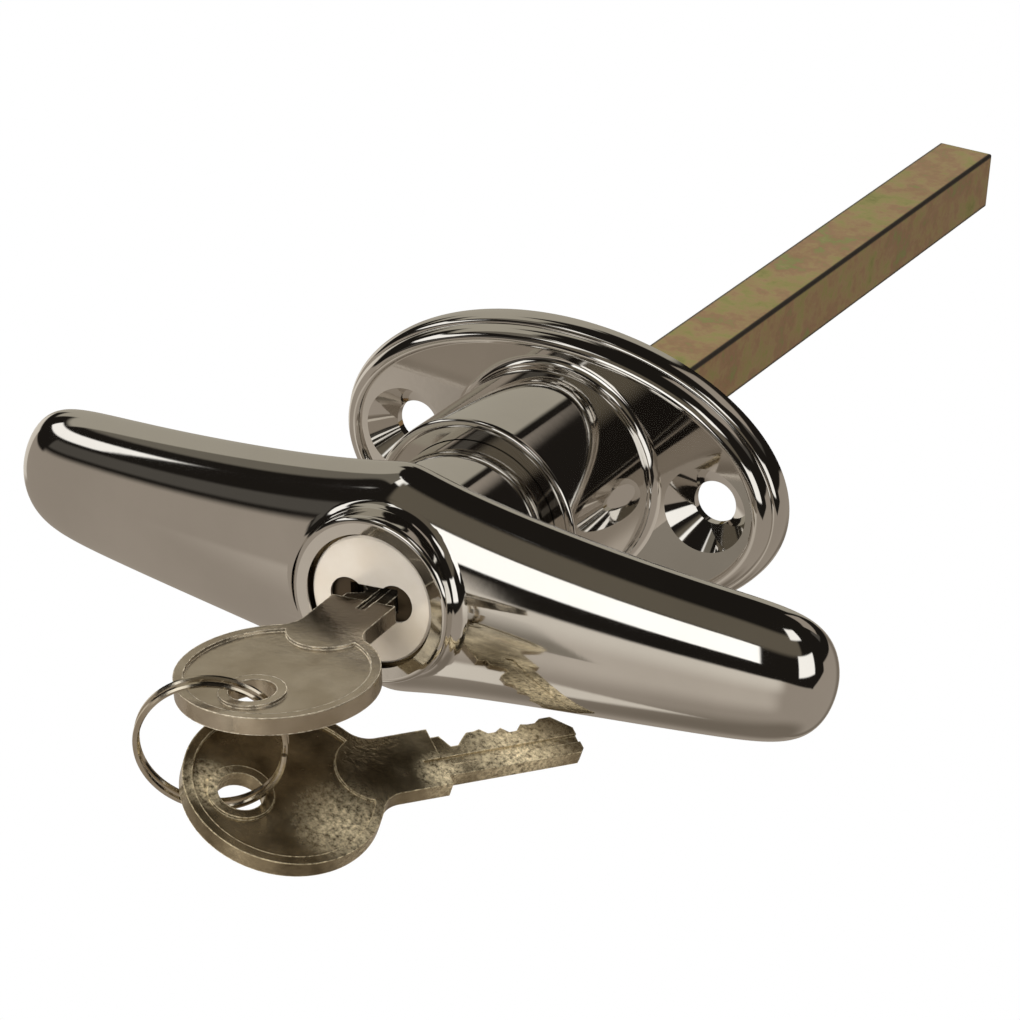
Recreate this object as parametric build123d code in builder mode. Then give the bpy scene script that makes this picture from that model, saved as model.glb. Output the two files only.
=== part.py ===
# Locking T-handle with a wafer lock in its grip, a square spindle and two keys on a split ring.
# Millimetres. The origin is the centre of the rose's back face, where the spindle enters the door.
# X runs along the grip, Y along the spindle into the door, and Z is up.

import os
from math import cos, hypot, pi, radians, sin, sqrt

from build123d import *

os.makedirs("parts", exist_ok=True)

# Rose: the oval plate that is screwed to the door, with its hub
rose_half_width = 29.2
rose_half_height = 18.0
rose_step_height = 2.7
rose_step_round = 1.0
rose_ledge = 0.9
rose_rim_width = 3.0
rose_bead_top = 4.9
rose_bead_round = 0.85
rose_floor = 4.0
rose_edge_wall = 2.4
rose_pocket_depth = 1.5
screw_spacing = 40.2
screw_hole_radius = 2.7
screw_head_radius = 5.25
screw_pad_wall = 2.2
hub_radius = 13.2
hub_front = 24.1
hub_foot_round = 1.2
hub_edge_round = 0.5
hub_lip_width = 1.2
hub_lip_depth = 0.7
hub_bore_radius = 10.5
hub_seat_radius = 12.2
hub_seat_depth = 5.0
hub_seat_wall = 1.6

# Grip: a bow shaped bar, waisted towards its tips and swept back
bar_half_length = 51.8
bar_mid_height = 27.8
bar_tip_height = 12.6
bar_height_power = 0.53
bar_peak_round = 2.0
bar_mid_depth = 12.5
bar_tip_depth = 10.0
bar_front = 46.9
bar_sweep = 3.2
bar_sweep_power = 2.7
bar_squareness = 1.9
bar_end_height_power = 20
bar_end_depth_power = 25
bar_section_points = 16
bar_station_angles = (2.5, 6, 12, 20, 29, 38, 48, 58, 67, 75, 82, 88.4)

# Boss round the lock, and the shank that turns in the hub
boss_radius = 9.95
boss_front = 48.4
boss_flare = 1.6
boss_edge_round = 0.7
shank_radius = 10.42
shank_shoulder_gap = 0.1
shank_end_radius = 8.0
shank_end_gap = 0.6

# Square spindle and its cross pin
spindle_side = 8.0
spindle_length = 142.5
spindle_socket_wall = 1.3
spindle_end_chamfer = 0.9
spindle_edge_round = 0.35
spindle_socket_clearance = 0.05
spindle_pin_radius = 1.5
spindle_pin_from_end = 5.8
spindle_pin_setback = 0.15

# Washers and the ring that hold the shank in the rose
thrust_washer_thickness = 0.8
thrust_washer_radius = 12.0
spring_washer_thickness = 0.4
spring_washer_height = 1.2
spring_washer_radius = 11.4
retaining_ring_thickness = 1.0
retaining_ring_radius = 10.2
retaining_groove_depth = 0.65
ring_gap_angle = 50.0
washer_clearance = 0.15
ring_corner_round = 0.5
stack_play = 0.02

# Lock: barrel, plug and wafers, fitted a few degrees off level
lock_turn = 5.4
barrel_radius = 7.9
barrel_length = 22.18
barrel_slip = 0.03
plug_radius = 6.0
plug_running_fit = 0.05
plug_head_radius = 7.55
plug_head_thickness = 1.2
plug_face_setback = 0.6
plug_edge_chamfer = 0.25
plug_tail_length = 1.8
keyway_width = 6.0
keyway_height = 2.85
keyway_length = 18.2
mouth_depth = 0.7
mouth_half_span = 3.0
mouth_end_radius = 2.2
mouth_waist_height = 3.3
plug_clip_thickness = 0.7
plug_clip_radius = 6.9
plug_groove_depth = 0.75
clip_cavity_radius = 7.3
barrel_pin_radius = 1.0
barrel_pin_from_rear = 3.4
barrel_pin_bite = 1.4
barrel_pin_setback = 0.1

wafer_count = 5
wafer_pitch = 2.5
wafer_first = 3.0
wafer_thickness = 0.8
wafer_length = 10.2
wafer_width = 6.0
wafer_clearance = 0.05
wafer_window_width = 6.2
wafer_window_height = 3.0
wafer_ear_length = 0.8
wafer_ear_height = 1.4
wafer_ear_place = 1.6
wafer_spring_radius = 0.45
wafer_spring_wire = 0.25
wafer_spring_turns = 3
wafer_spring_corners = 6
spring_pocket_length = 4.5
spring_pocket_width = 1.4
wafer_groove_reach = 6.7
wafer_groove_end = 0.9

# Bolt that the plug slides out of the shank into the hub
bolt_travel = 1.8
key_turn_angle = 90.0
bolt_width = 6.0
bolt_thickness = 3.0
bolt_top = 5.4
bolt_end_radius = 10.2
bolt_clearance = 0.1
bolt_tail_gap = 0.4
drive_pin_radius = 0.9
drive_pin_bite = 2.6
drive_slot_slack = 0.07
notch_radius = 12.3
notch_clearance = 0.3

# Keys
key_bow_radius = 11.2
key_thickness = 2.05
key_dish_depth = 0.35
key_rim_width = 1.1
key_hole_radius = 2.6
key_hole_offset = 5.1
key_hole_lip = 1.1
key_collar_end = 18.7
key_collar_width = 8.0
key_neck_round = 3.2
key_blade_width = 5.6
key_blade_thickness = 1.9
key_tip = 35.6
key_tip_ramp = 2.0
key_tip_chamfer = 0.5
key_groove_width = 1.1
key_groove_depth = 0.45
key_groove_place = 0.75
key_neck_boss_radius = 4.8
key_groove_start = 16.6
key_cut_shares = (0.30, 0.03, 0.14, 0.20, 0.09)
key_cut_flat = 0.9
key_cut_slope = 1.0

# Where the keys and the split ring lie
bow_to_lock = 68.0
key_droop = 3.0
key_sag = 1.45
spare_right = 1.53
spare_out = 68.42
spare_drop = 14.29
spare_yaw = 54.8
spare_roll = 22.5
ring_left = 4.01
ring_out = 74.77
ring_drop = 7.53
ring_yaw = 25.8
ring_tilt = -9.8
ring_radius = 8.0
ring_wire = 0.7
ring_pitch = 1.12
ring_turns = 2
ring_sides = 8


def facing_user(depth, turn=0.0):
    """Plane in front of the door by depth, facing the user, turned about the spindle."""
    angle = radians(turn)
    return Plane(origin=(0, -depth, 0), x_dir=(cos(angle), 0, sin(angle)), z_dir=(0, -1, 0))


def key_plane(centre, yaw, pitch, roll):
    """Middle plane of a key: x along the blade from the bow's centre, y towards the cuts."""
    heading = radians(yaw)
    climb = radians(pitch)
    along = Vector(cos(climb) * cos(heading), cos(climb) * sin(heading), sin(climb))
    above = Vector(-sin(climb) * cos(heading), -sin(climb) * sin(heading), cos(climb))
    return Plane(origin=centre, x_dir=along, z_dir=above.rotate(Axis((0, 0, 0), along), roll))


# Levels along the spindle that several pieces share, each as a depth in front of the door
thrust_back = hub_seat_depth - thrust_washer_thickness
ring_front = thrust_back - spring_washer_height - stack_play
ring_back = ring_front - retaining_ring_thickness
shank_shoulder = hub_seat_depth + shank_shoulder_gap
plug_face = boss_front - plug_face_setback
head_back = plug_face - plug_head_thickness
barrel_front = head_back - stack_play
barrel_back = barrel_front - barrel_length
plug_tail = barrel_back - plug_tail_length
clip_front = barrel_back - stack_play
clip_back = clip_front - plug_clip_thickness
bolt_front = plug_tail - bolt_tail_gap
bolt_back = bolt_front - bolt_thickness
barrel_pin_depth = barrel_back + barrel_pin_from_rear
socket_depth = bolt_back - bolt_clearance - spindle_socket_wall
spindle_end = spindle_length - socket_depth
spindle_pin_depth = socket_depth - spindle_pin_from_end
wafer_depths = [plug_face - wafer_first - wafer_pitch * index for index in range(wafer_count)]

# Sizes that follow from the pieces that fit together
barrel_bore_radius = plug_radius + plug_running_fit
handle_bore_radius = barrel_radius + barrel_slip
socket_side = spindle_side + 2 * spindle_socket_clearance
retaining_groove_radius = shank_end_radius - retaining_groove_depth
plug_groove_radius = plug_radius - plug_groove_depth
washer_hole_radius = shank_end_radius + washer_clearance
drive_pin_offset = bolt_travel / (2 * sin(radians(key_turn_angle / 2)))
drive_pin_rest = drive_pin_offset * cos(radians(key_turn_angle / 2))
spring_centre_height = wafer_width / 2 + wafer_ear_height / 2 + wafer_clearance

# Rose: cast oval plate with a beaded rim, a hub, two countersunk holes and a hollow back
with BuildPart() as rose:
    with BuildSketch(facing_user(0)):
        Ellipse(rose_half_width, rose_half_height)
    extrude(amount=rose_step_height)
    fillet(rose.edges().group_by(Axis.Y)[0], rose_step_round)
    with BuildSketch(facing_user(rose_step_height - rose_step_round)):
        Ellipse(rose_half_width - rose_ledge, rose_half_height - rose_ledge)
    extrude(amount=rose_bead_top - rose_step_height + rose_step_round)
    with BuildSketch(facing_user(rose_floor)):
        Ellipse(rose_half_width - rose_rim_width, rose_half_height - rose_rim_width)
    extrude(amount=rose_bead_top - rose_floor, mode=Mode.SUBTRACT)
    fillet(rose.edges().group_by(Axis.Y)[0], rose_bead_round)
    with BuildSketch(facing_user(rose_floor)):
        Circle(hub_radius)
    extrude(amount=hub_front - rose_floor)
    hub_circles = rose.edges().filter_by(GeomType.CIRCLE)
    fillet(hub_circles.group_by(Axis.Y)[-1], hub_foot_round)
    fillet(rose.edges().group_by(Axis.Y)[0], hub_edge_round)
    with BuildSketch(facing_user(hub_front - hub_lip_depth)):
        Circle(hub_radius - hub_lip_width)
    extrude(amount=hub_lip_depth, mode=Mode.SUBTRACT)
    with BuildSketch(facing_user(0)):
        Circle(hub_bore_radius)
    extrude(amount=hub_front, mode=Mode.SUBTRACT)
    with BuildSketch(facing_user(0)):
        Circle(hub_seat_radius)
    extrude(amount=hub_seat_depth, mode=Mode.SUBTRACT)
    with BuildSketch(facing_user(0)):
        Ellipse(rose_half_width - rose_edge_wall, rose_half_height - rose_edge_wall)
        Circle(hub_seat_radius + hub_seat_wall, mode=Mode.SUBTRACT)
        with Locations((-screw_spacing / 2, 0), (screw_spacing / 2, 0)):
            Circle(screw_hole_radius + screw_pad_wall, mode=Mode.SUBTRACT)
    extrude(amount=rose_pocket_depth, mode=Mode.SUBTRACT)
    # Notches for the bolt at both ends of the handle's turn and at rest
    with BuildSketch(facing_user(hub_seat_depth)):
        with PolarLocations(hub_bore_radius, 3, start_angle=180, angular_range=180, endpoint=True):
            Rectangle(2 * (notch_radius - hub_bore_radius), bolt_width + 2 * notch_clearance)
    extrude(amount=bolt_front + notch_clearance - hub_seat_depth, mode=Mode.SUBTRACT)
    with Locations(facing_user(rose_floor)):
        with Locations((-screw_spacing / 2, 0), (screw_spacing / 2, 0)):
            CounterSinkHole(screw_hole_radius, screw_head_radius, depth=rose_floor)
rose.part.label = "rose"
export_step(rose.part, "parts/rose.step")


def taper(x, power):
    """Share of the way from the grip's middle to its tip, rounded off at the middle."""
    return (hypot(x, bar_peak_round) ** power - bar_peak_round**power) / bar_half_length**power


def end_cap(x, power):
    """Factor that rounds the grip off at its tip, sharper with a higher power."""
    return sqrt(1 - (abs(x) / bar_half_length) ** power)


def bar_centre(x):
    """Depth of the grip's middle line in front of the door."""
    return bar_front - bar_mid_depth / 2 - bar_sweep * (abs(x) / bar_half_length) ** bar_sweep_power


def bar_section(x):
    """Points round the grip at x, on a slightly squared oval."""
    height = bar_mid_height - (bar_mid_height - bar_tip_height) * taper(x, bar_height_power)
    depth = bar_mid_depth - (bar_mid_depth - bar_tip_depth) * taper(x, 1)
    half_depth = depth / 2 * end_cap(x, bar_end_depth_power)
    half_height = height / 2 * end_cap(x, bar_end_height_power)
    points = []
    for step in range(bar_section_points):
        angle = 2 * pi * step / bar_section_points
        back = cos(angle)
        up = sin(angle)
        reach = (abs(back) ** bar_squareness + abs(up) ** bar_squareness) ** (-1 / bar_squareness)
        points.append((-bar_centre(x) + half_depth * reach * back, half_height * reach * up))
    return points


# Grip sections: close together at the middle's peak and where the tips round off
half_stations = [bar_half_length * sin(radians(angle)) for angle in bar_station_angles]
bar_sections = []
for x in [-place for place in reversed(half_stations)] + [0.0] + half_stations:
    with BuildSketch(Plane.YZ.offset(x)) as section:
        with BuildLine():
            Spline(*bar_section(x), periodic=True)
        make_face()
    bar_sections.append(section.sketch)

# Handle: cast grip with the lock's boss in front and the hollow shank behind
with BuildPart() as handle:
    loft(sections=bar_sections)
    with BuildSketch(facing_user(bar_centre(0))):
        Circle(boss_radius)
    extrude(amount=boss_front - bar_centre(0))
    rings = handle.edges().filter_by(lambda edge: edge.length > 5 * boss_radius)
    seam = rings.filter_by(GeomType.CIRCLE, reverse=True).sort_by(Axis.Y)[0]
    fillet(seam, boss_flare)
    fillet(handle.edges().group_by(Axis.Y)[0], boss_edge_round)
    with BuildSketch(facing_user(shank_shoulder)):
        Circle(shank_radius)
    extrude(amount=bar_centre(0) - shank_shoulder)
    with BuildSketch(facing_user(shank_end_gap)):
        Circle(shank_end_radius)
    extrude(amount=shank_shoulder - shank_end_gap)
    with BuildSketch(facing_user(ring_back - stack_play)):
        Circle(shank_end_radius)
        Circle(retaining_groove_radius, mode=Mode.SUBTRACT)
    extrude(amount=retaining_ring_thickness + 2 * stack_play, mode=Mode.SUBTRACT)
    # Bore for the lock, the cavity behind it and the bolt's pocket
    with BuildSketch(facing_user(barrel_back)):
        Circle(handle_bore_radius)
    extrude(amount=boss_front - barrel_back, mode=Mode.SUBTRACT)
    with BuildSketch(facing_user(bolt_front)):
        Circle(clip_cavity_radius)
    extrude(amount=barrel_back - bolt_front, mode=Mode.SUBTRACT)
    with BuildSketch(facing_user(bolt_back - bolt_clearance)):
        with Locations((0, bolt_top + bolt_clearance)):
            Rectangle(
                bolt_width + 2 * bolt_clearance,
                bolt_top + 2 * shank_radius,
                align=(Align.CENTER, Align.MAX),
            )
    extrude(amount=bolt_thickness + 2 * bolt_clearance, mode=Mode.SUBTRACT)
    # Square socket for the spindle, and the cross holes of the two pins
    with BuildSketch(facing_user(0)):
        Rectangle(socket_side, socket_side)
    extrude(amount=socket_depth, mode=Mode.SUBTRACT)
    with BuildSketch(Plane.YZ):
        with Locations((-spindle_pin_depth, 0)):
            Circle(spindle_pin_radius)
    extrude(amount=2 * shank_radius, both=True, mode=Mode.SUBTRACT)
    with BuildSketch(Plane.XY):
        with Locations((0, -barrel_pin_depth)):
            Circle(barrel_pin_radius)
    extrude(amount=-2 * shank_radius, mode=Mode.SUBTRACT)
handle.part.label = "handle"
export_step(handle.part, "parts/handle.step")

# Spindle: square bar that carries the turn to the latch inside the door
with BuildPart() as spindle:
    with BuildSketch(facing_user(-spindle_end)):
        Rectangle(spindle_side, spindle_side)
    extrude(amount=spindle_length)
    chamfer(spindle.edges().group_by(Axis.Y)[-1], spindle_end_chamfer)
    fillet(spindle.edges().filter_by(Axis.Y), spindle_edge_round)
    with BuildSketch(Plane.YZ):
        with Locations((-spindle_pin_depth, 0)):
            Circle(spindle_pin_radius)
    extrude(amount=spindle_side, both=True, mode=Mode.SUBTRACT)
spindle.part.label = "spindle"
export_step(spindle.part, "parts/spindle.step")

# Cross pin through the shank and the spindle, held in by the hub around it
with BuildPart() as spindle_pin:
    with BuildSketch(Plane.YZ):
        with Locations((-spindle_pin_depth, 0)):
            Circle(spindle_pin_radius)
    extrude(amount=shank_radius - spindle_pin_setback, both=True)
    chamfer(spindle_pin.edges().filter_by(GeomType.CIRCLE), spindle_pin_setback)
spindle_pin.part.label = "spindle_pin"
export_step(spindle_pin.part, "parts/spindle_pin.step")

# Flat washer on the hub's inner seat
with BuildPart() as thrust_washer:
    with BuildSketch(facing_user(thrust_back)):
        Circle(thrust_washer_radius)
        Circle(washer_hole_radius, mode=Mode.SUBTRACT)
    extrude(amount=thrust_washer_thickness)
thrust_washer.part.label = "thrust_washer"
export_step(thrust_washer.part, "parts/thrust_washer.step")

# Curved spring washer, bent about one axis, that takes up the play
crown = spring_washer_height - spring_washer_thickness
with BuildPart() as spring_washer:
    with BuildSketch(Plane.XY):
        with BuildLine():
            front_arc = ThreePointArc(
                (-spring_washer_radius, -thrust_back + crown),
                (0, -thrust_back),
                (spring_washer_radius, -thrust_back + crown),
            )
            back_arc = ThreePointArc(
                (-spring_washer_radius, -thrust_back + spring_washer_height),
                (0, -thrust_back + spring_washer_thickness),
                (spring_washer_radius, -thrust_back + spring_washer_height),
            )
            Line(front_arc @ 0, back_arc @ 0)
            Line(front_arc @ 1, back_arc @ 1)
        make_face()
    extrude(amount=spring_washer_radius, both=True)
    with BuildSketch(facing_user(0)):
        Circle(spring_washer_radius)
        Circle(washer_hole_radius, mode=Mode.SUBTRACT)
    extrude(amount=thrust_back, mode=Mode.INTERSECT)
spring_washer.part.label = "spring_washer"
export_step(spring_washer.part, "parts/spring_washer.step")


def open_ring(inner, outer, back, thickness):
    """Flat retaining ring with a gap at the top, for a groove of radius inner."""
    gap_width = 2 * inner * sin(radians(ring_gap_angle / 2))
    with BuildPart() as clip:
        with BuildSketch(facing_user(back)) as flat:
            Circle(outer)
            Circle(inner, mode=Mode.SUBTRACT)
            with Locations((0, outer)):
                Rectangle(gap_width, outer, mode=Mode.SUBTRACT)
            fillet(flat.vertices().group_by(Axis.Y)[-1], ring_corner_round)
        extrude(amount=thickness)
    return clip


retaining_ring = open_ring(
    retaining_groove_radius, retaining_ring_radius, ring_back, retaining_ring_thickness
)
retaining_ring.part.label = "retaining_ring"
export_step(retaining_ring.part, "parts/retaining_ring.step")

# Lock barrel: the fixed sleeve round the plug, grooved where the wafers stand out
with BuildPart() as lock_barrel:
    with BuildSketch(facing_user(barrel_back)):
        Circle(barrel_radius)
        Circle(barrel_bore_radius, mode=Mode.SUBTRACT)
    extrude(amount=barrel_length)
    with BuildSketch(facing_user(wafer_depths[-1] - wafer_groove_end, lock_turn)):
        Rectangle(2 * wafer_groove_reach, wafer_width + 2 * wafer_clearance)
    extrude(amount=wafer_depths[0] - wafer_depths[-1] + 2 * wafer_groove_end, mode=Mode.SUBTRACT)
    with BuildSketch(Plane.XY.offset(barrel_pin_bite - barrel_radius)):
        with Locations((0, -barrel_pin_depth)):
            Circle(barrel_pin_radius)
    extrude(amount=-2 * barrel_pin_bite, mode=Mode.SUBTRACT)
lock_barrel.part.label = "lock_barrel"
export_step(lock_barrel.part, "parts/lock_barrel.step")

# Pin from below that keeps the barrel in the handle
with BuildPart() as barrel_pin:
    with BuildSketch(Plane.XY.offset(barrel_pin_bite - barrel_radius)):
        with Locations((0, -barrel_pin_depth)):
            Circle(barrel_pin_radius)
    extrude(amount=-(shank_radius - barrel_radius + barrel_pin_bite - barrel_pin_setback))
barrel_pin.part.label = "barrel_pin"
export_step(barrel_pin.part, "parts/barrel_pin.step")

# Lock plug: face with the bow tie shaped key mouth, wafer slots, clip groove and drive pin
with BuildPart() as lock_plug:
    with BuildSketch(facing_user(head_back)):
        Circle(plug_head_radius)
    extrude(amount=plug_head_thickness)
    chamfer(lock_plug.edges().group_by(Axis.Y)[0], plug_edge_chamfer)
    with BuildSketch(facing_user(plug_tail)):
        Circle(plug_radius)
    extrude(amount=head_back - plug_tail)
    with BuildSketch(facing_user(clip_back - stack_play)):
        Circle(plug_radius)
        Circle(plug_groove_radius, mode=Mode.SUBTRACT)
    extrude(amount=plug_clip_thickness + 2 * stack_play, mode=Mode.SUBTRACT)
    with BuildSketch(facing_user(plug_face - keyway_length, lock_turn)):
        Rectangle(keyway_width, keyway_height)
    extrude(amount=keyway_length, mode=Mode.SUBTRACT)
    with BuildSketch(facing_user(plug_face - mouth_depth, lock_turn)):
        Rectangle(2 * mouth_half_span, mouth_waist_height)
        with Locations((-mouth_half_span, 0), (mouth_half_span, 0)):
            Circle(mouth_end_radius)
    extrude(amount=mouth_depth, mode=Mode.SUBTRACT)
    for depth in wafer_depths:
        with BuildSketch(facing_user(depth - wafer_thickness / 2 - wafer_clearance, lock_turn)):
            Rectangle(2 * plug_radius, wafer_width + 2 * wafer_clearance)
        extrude(amount=wafer_thickness + 2 * wafer_clearance, mode=Mode.SUBTRACT)
        with BuildSketch(facing_user(depth - spring_pocket_width / 2, lock_turn)):
            with Locations((wafer_ear_place + wafer_ear_length + wafer_clearance, wafer_width / 2)):
                Rectangle(
                    spring_pocket_length + wafer_ear_length + wafer_clearance,
                    wafer_ear_height + 2 * wafer_clearance,
                    align=(Align.MAX, Align.MIN),
                )
        extrude(amount=spring_pocket_width, mode=Mode.SUBTRACT)
    with BuildSketch(facing_user(plug_tail - drive_pin_bite)):
        with Locations((drive_pin_rest, drive_pin_rest)):
            Circle(drive_pin_radius)
    extrude(amount=drive_pin_bite)
lock_plug.part.label = "lock_plug"
export_step(lock_plug.part, "parts/lock_plug.step")

plug_clip = open_ring(plug_groove_radius, plug_clip_radius, clip_back, plug_clip_thickness)
plug_clip.part.label = "plug_clip"
export_step(plug_clip.part, "parts/plug_clip.step")


def bent_coil(plane, radius, wire, length, turns, corners):
    """Coil spring along the plane's normal, of straight square wire bent at each corner."""
    steps = turns * corners
    bends = []
    for step in range(steps + 1):
        angle = 2 * pi * step / corners
        bends.append((radius * cos(angle), radius * sin(angle), length * (step / steps - 0.5)))
    with BuildPart() as wound:
        with BuildLine(plane) as path:
            Polyline(*bends)
        winding = path.wires()[0]
        with BuildSketch(Plane(winding @ 0, z_dir=winding % 0)):
            Rectangle(wire, wire)
        sweep(path=winding, transition=Transition.RIGHT)
    return wound


# Wafers: sprung plates with a window for the key, and the coil spring beside each
wafer_spring_length = spring_pocket_length - 2 * wafer_spring_wire
for number, depth in enumerate(wafer_depths, start=1):
    wafer_middle = facing_user(depth, lock_turn)
    with BuildPart() as wafer:
        with BuildSketch(facing_user(depth - wafer_thickness / 2, lock_turn)):
            Rectangle(wafer_length, wafer_width)
            with Locations((wafer_ear_place, 0)):
                Rectangle(
                    wafer_ear_length,
                    wafer_width / 2 + wafer_ear_height,
                    align=(Align.MIN, Align.MIN),
                )
            Rectangle(wafer_window_width, wafer_window_height, mode=Mode.SUBTRACT)
        extrude(amount=wafer_thickness)
    wafer.part.label = f"wafer_{number}"
    export_step(wafer.part, f"parts/wafer_{number}.step")

    spring_middle = wafer_middle.from_local_coords(
        Vector(wafer_ear_place - spring_pocket_length / 2, spring_centre_height, 0)
    )
    spring_plane = Plane(origin=spring_middle, x_dir=wafer_middle.y_dir, z_dir=wafer_middle.x_dir)
    wafer_spring = bent_coil(
        spring_plane,
        wafer_spring_radius,
        wafer_spring_wire,
        wafer_spring_length,
        wafer_spring_turns,
        wafer_spring_corners,
    )
    wafer_spring.part.label = f"wafer_spring_{number}"
    export_step(wafer_spring.part, f"parts/wafer_spring_{number}.step")

# Bolt: flat slide in the shank with a slot for the plug's drive pin
with BuildPart() as lock_bolt:
    with BuildSketch(facing_user(bolt_back)):
        Circle(bolt_end_radius)
        Rectangle(bolt_width, 2 * bolt_end_radius, mode=Mode.INTERSECT)
        with Locations((0, bolt_top)):
            Rectangle(
                2 * bolt_width,
                bolt_end_radius,
                align=(Align.CENTER, Align.MIN),
                mode=Mode.SUBTRACT,
            )
    extrude(amount=bolt_thickness)
    with BuildSketch(facing_user(bolt_back)):
        with Locations((drive_pin_rest - drive_pin_radius - drive_slot_slack, drive_pin_rest)):
            Rectangle(
                drive_pin_offset - drive_pin_rest + 2 * (drive_pin_radius + drive_slot_slack),
                2 * (drive_pin_radius + drive_slot_slack),
                align=(Align.MIN, Align.CENTER),
            )
    extrude(amount=bolt_thickness, mode=Mode.SUBTRACT)
lock_bolt.part.label = "lock_bolt"
export_step(lock_bolt.part, "parts/lock_bolt.step")


def blade_outline():
    """Corners of the blade: plain lower edge, tip, and the cuts from the tip back to the collar."""
    half = key_blade_width / 2
    first = key_collar_end + wafer_first - mouth_depth
    places = [first + wafer_pitch * index for index in range(wafer_count)]
    cuts = [key_blade_width * share for share in key_cut_shares]
    edge = [(key_collar_end - key_thickness, half), (places[0] - wafer_pitch / 2, half)]
    for index, (place, cut) in enumerate(zip(places, cuts)):
        edge += [(place - key_cut_flat / 2, half - cut), (place + key_cut_flat / 2, half - cut)]
        if index + 1 < wafer_count:
            deeper = max(cut, cuts[index + 1])
            ridge = min(half, half - deeper + key_cut_slope * (wafer_pitch - key_cut_flat) / 2)
            edge.append((place + wafer_pitch / 2, ridge))
    edge += [(places[-1] + wafer_pitch / 2, half), (key_tip - key_tip_ramp, half)]
    edge += [(key_tip, half - key_tip_ramp)]
    lower = [
        (key_tip, key_tip_chamfer - half),
        (key_tip - key_tip_chamfer, -half),
        (key_collar_end - key_thickness, -half),
    ]
    return edge + lower


def make_key(place):
    """Key with a round dished bow, a raised lip round its hole, a collar and a grooved blade."""
    with BuildPart() as key:
        with BuildSketch(place.offset(-key_thickness / 2)) as outline:
            Circle(key_bow_radius)
            Rectangle(key_collar_end, key_collar_width, align=(Align.MIN, Align.CENTER))
            neck = outline.vertices().filter_by(lambda corner: 0 < corner.X < key_bow_radius)
            fillet(neck, key_neck_round)
            with Locations((-key_hole_offset, 0)):
                Circle(key_hole_radius, mode=Mode.SUBTRACT)
        extrude(amount=key_thickness)
        with BuildSketch(place.offset(-key_blade_thickness / 2)):
            with BuildLine():
                Polyline(*blade_outline(), close=True)
            make_face()
        extrude(amount=key_blade_thickness)
        for side in (-1, 1):
            with BuildSketch(place.offset(side * key_thickness / 2)):
                Circle(key_bow_radius - key_rim_width)
                with Locations((-key_hole_offset, 0)):
                    Circle(key_hole_radius + key_hole_lip, mode=Mode.SUBTRACT)
                with Locations((key_bow_radius, 0)):
                    Circle(key_neck_boss_radius, mode=Mode.SUBTRACT)
            extrude(amount=-side * key_dish_depth, mode=Mode.SUBTRACT)
            with BuildSketch(place.offset(side * key_thickness / 2)):
                with Locations((key_groove_start, -side * key_groove_place)):
                    Rectangle(
                        key_tip - key_groove_start,
                        key_groove_width,
                        align=(Align.MIN, Align.CENTER),
                    )
            extrude(amount=-side * key_groove_depth, mode=Mode.SUBTRACT)
    return key


# Key in the lock, drooping a little in its keyway as in the hand
working_key = make_key(key_plane((0, -bow_to_lock, -key_sag), 90, key_droop, -lock_turn))
working_key.part.label = "working_key"
export_step(working_key.part, "parts/working_key.step")

# Spare key, leaning below the first one on the same ring
spare_key = make_key(
    key_plane((spare_right, -spare_out, -spare_drop), spare_yaw, 0, spare_roll)
)
spare_key.part.label = "spare_key"
export_step(spare_key.part, "parts/spare_key.step")

# Split ring of two turns through the holes of both bows: flat half turns, each tilted a little
ring_facing = radians(ring_yaw)
ring_lean = radians(ring_tilt)
ring_plane = Plane(
    origin=(-ring_left, -ring_out, -ring_drop),
    x_dir=(cos(ring_facing), sin(ring_facing), 0),
    z_dir=(
        sin(ring_facing) * cos(ring_lean),
        -cos(ring_facing) * cos(ring_lean),
        sin(ring_lean),
    ),
)
half_turn_rise = ring_pitch / 4
marks_per_turn = 48
with BuildPart() as key_ring:
    with BuildLine(ring_plane) as ring_path:
        for half in range(2 * ring_turns):
            side = 1 if half % 2 == 0 else -1
            low = 2 * half_turn_rise * (half - ring_turns)
            ThreePointArc(
                (side * ring_radius, 0, low),
                (0, side * hypot(ring_radius, half_turn_rise), low + half_turn_rise),
                (-side * ring_radius, 0, low + 2 * half_turn_rise),
            )
    winding = ring_path.wires()[0]
    with BuildSketch(Plane(winding @ 0, x_dir=ring_plane.x_dir, z_dir=winding % 0)):
        RegularPolygon(ring_wire / 2, ring_sides, rotation=180 / ring_sides)
    sweep(path=winding)
key_ring.part.label = "key_ring"
export_step(key_ring.part, "parts/key_ring.step")

# The ring's least gap to itself, between points that lie more than half a turn apart
mark_count = ring_turns * marks_per_turn
marks = [winding @ (index / mark_count) for index in range(mark_count + 1)]
gaps = [
    (marks[late] - marks[early]).length - ring_wire
    for early in range(mark_count + 1)
    for late in range(early + marks_per_turn // 2, mark_count + 1)
]
print(f"key_ring: least gap to itself {min(gaps):.2f} mm")
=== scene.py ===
from math import cos, hypot, pi, radians, sin, sqrt, tan

import bmesh
import bpy
from mathutils import Matrix, Vector


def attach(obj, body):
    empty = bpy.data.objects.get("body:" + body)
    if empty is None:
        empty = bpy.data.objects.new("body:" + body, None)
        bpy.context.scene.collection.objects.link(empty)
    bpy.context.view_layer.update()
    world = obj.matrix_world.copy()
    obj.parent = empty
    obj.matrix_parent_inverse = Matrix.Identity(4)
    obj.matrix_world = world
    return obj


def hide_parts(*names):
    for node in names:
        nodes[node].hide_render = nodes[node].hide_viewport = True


# Locking T-handle: looks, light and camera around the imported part. Metres, in the part's own frame.
# The handle points its grip at -Y, towards the user; the square spindle runs to +Y and Z is up.

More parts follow.
